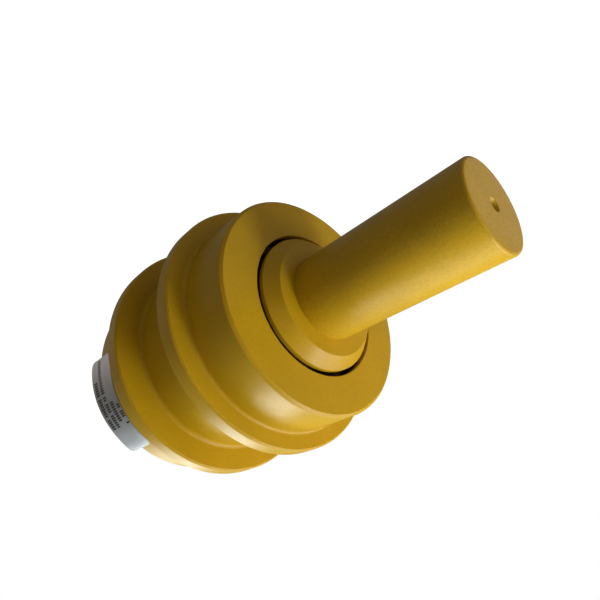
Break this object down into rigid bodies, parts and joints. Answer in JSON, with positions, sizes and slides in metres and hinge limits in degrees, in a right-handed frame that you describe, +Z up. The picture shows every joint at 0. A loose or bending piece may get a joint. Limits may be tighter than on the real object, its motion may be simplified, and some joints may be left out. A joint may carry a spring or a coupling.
{
  "type": "carrier roller",
  "caption": "Cantilevered carrier roller for a crawler track: a clamped shaft and collar carry a turning double-flanged shell with a centre groove, plain bushes, face seal and end cover.",
  "frame": {"origin": "on the roller's axis, in the middle of the overall length", "axes": "+Y along the roller's axis, away from the shaft's free end; +Z up; the shaft's free end points towards -Y"},
  "size_m": [0.186, 0.315, 0.186],
  "materials": {
    "ochre_paint": "satin enamel over turned and forged steel",
    "ground_steel": "lapped",
    "plain_steel": "turned",
    "zinc_plate": "yellow zinc plated",
    "copper_washer": "soft copper",
    "bush_bronze": "bronze",
    "black_rubber": "matt",
    "silver_foil": "satin silver film"
  },
  "bodies": {
    "shaft_assembly": {"shaft": "ochre_paint", "shaft_collar": "ochre_paint", "collar_o_ring": "black_rubber", "fixed_seal_ring": "ground_steel", "fixed_toric_ring": "black_rubber", "thrust_plate": "plain_steel", "thrust_bolt_1": "zinc_plate", "thrust_bolt_2": "zinc_plate", "thrust_bolt_3": "zinc_plate", "thrust_bolt_washer_1": "zinc_plate", "thrust_bolt_washer_2": "zinc_plate", "thrust_bolt_washer_3": "zinc_plate"},
    "roller": {"roller_shell": "ochre_paint", "near_bush": "bush_bronze", "far_bush": "bush_bronze", "turning_seal_ring": "ground_steel", "turning_toric_ring": "black_rubber", "end_cover": "ochre_paint", "cover_o_ring": "black_rubber", "cover_bolt_1": "zinc_plate", "cover_bolt_2": "zinc_plate", "cover_bolt_3": "zinc_plate", "cover_bolt_4": "zinc_plate", "cover_bolt_5": "zinc_plate", "cover_bolt_6": "zinc_plate", "cover_bolt_washer_1": "zinc_plate", "cover_bolt_washer_2": "zinc_plate", "cover_bolt_washer_3": "zinc_plate", "cover_bolt_washer_4": "zinc_plate", "cover_bolt_washer_5": "zinc_plate", "cover_bolt_washer_6": "zinc_plate", "oil_plug": "zinc_plate", "oil_plug_washer": "copper_washer", "tread_label": "silver_foil"}
  },
  "joints": [
    {"name": "roller_spin", "type": "hinge", "parent": "shaft_assembly", "child": "roller", "pos_m": [0, 0, 0], "axis": [0, 1, 0], "continuous": true}
  ]
}
